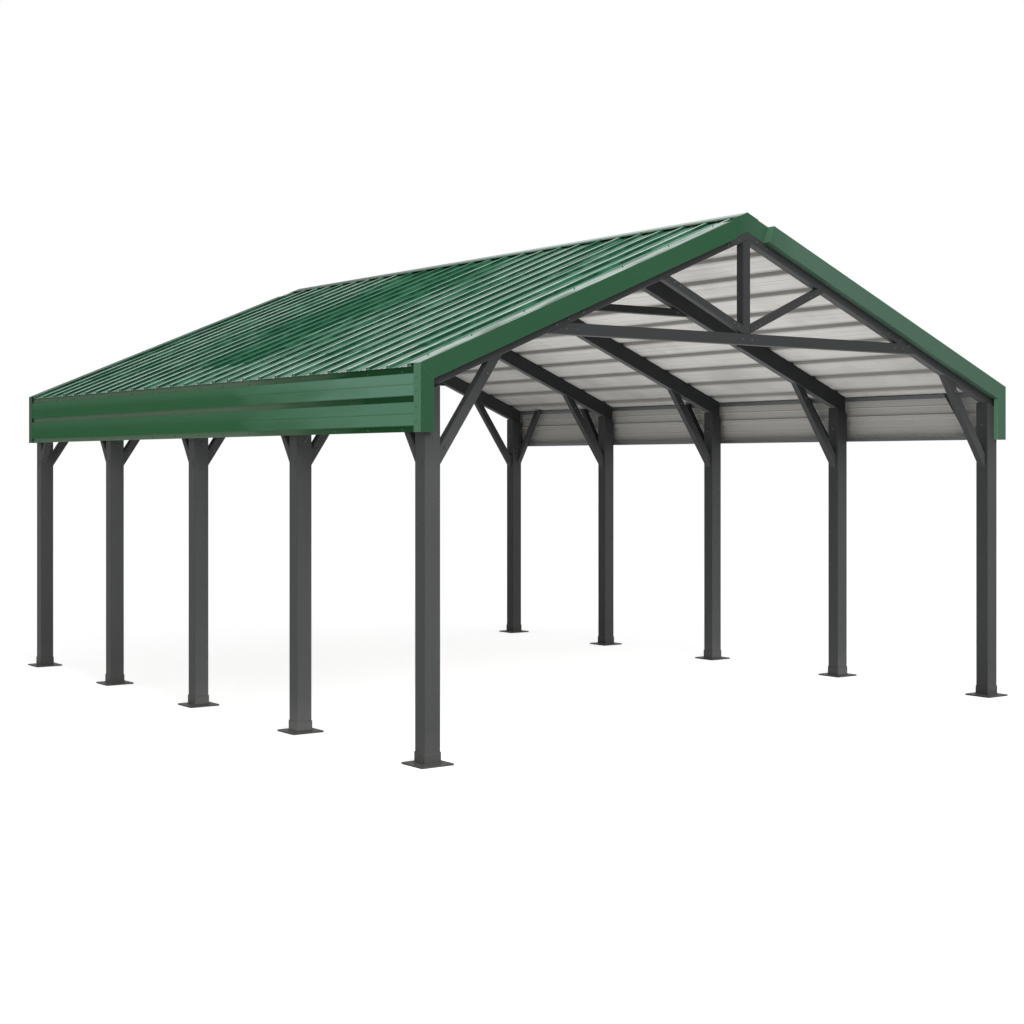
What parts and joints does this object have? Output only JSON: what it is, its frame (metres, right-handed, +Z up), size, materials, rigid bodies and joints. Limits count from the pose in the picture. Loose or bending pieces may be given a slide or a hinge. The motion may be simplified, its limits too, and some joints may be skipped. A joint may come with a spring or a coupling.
{
  "type": "two-car gable carport",
  "caption": "Open gable carport: square steel posts on bolted foot plates carry braced frames, a ribbed green roof, short side skirts and folded trims.",
  "frame": {"origin": "on the ground in the middle of the plan, at the level of the foot plates' undersides", "axes": "+Z up, +Y from the front gable to the back gable along the ridge, +X to the right as seen from the front"},
  "size_m": [6.27, 7.47, 4.075],
  "materials": {
    "charcoal_frame": "satin charcoal powder coat",
    "galvanised_rail": "matt grey primer over galvanised tube",
    "grey_lining": "semi-gloss pale grey coil coat",
    "green_sheet": "gloss green coil coat",
    "green_trim": "satin green coil coat"
  },
  "bodies": {
    "root": {"left_feet": "charcoal_frame", "right_feet": "charcoal_frame", "left_post_1": "charcoal_frame", "left_post_2": "charcoal_frame", "left_post_3": "charcoal_frame", "left_post_4": "charcoal_frame", "left_post_5": "charcoal_frame", "right_post_1": "charcoal_frame", "right_post_2": "charcoal_frame", "right_post_3": "charcoal_frame", "right_post_4": "charcoal_frame", "right_post_5": "charcoal_frame", "rafters_1": "charcoal_frame", "rafters_2": "charcoal_frame", "rafters_3": "charcoal_frame", "rafters_4": "charcoal_frame", "rafters_5": "charcoal_frame", "left_knee_braces": "charcoal_frame", "right_knee_braces": "charcoal_frame", "left_eave_braces": "charcoal_frame", "right_eave_braces": "charcoal_frame", "front_tie_beam": "charcoal_frame", "front_king_post": "charcoal_frame", "front_webs": "charcoal_frame", "back_tie_beam": "charcoal_frame", "back_king_post": "charcoal_frame", "back_webs": "charcoal_frame", "collar_ties": "charcoal_frame", "left_skirt_rails": "galvanised_rail", "right_skirt_rails": "galvanised_rail", "left_lining_deck": "grey_lining", "right_lining_deck": "grey_lining", "left_roof_sheet": "green_sheet", "right_roof_sheet": "green_sheet", "ridge_cap": "green_trim", "ridge_ends": "green_trim", "front_left_rake_trim": "green_trim", "front_right_rake_trim": "green_trim", "back_left_rake_trim": "green_trim", "back_right_rake_trim": "green_trim", "left_corner_trims": "green_trim", "right_corner_trims": "green_trim", "left_skirt": "green_sheet", "right_skirt": "green_sheet"}
  },
  "joints": []
}
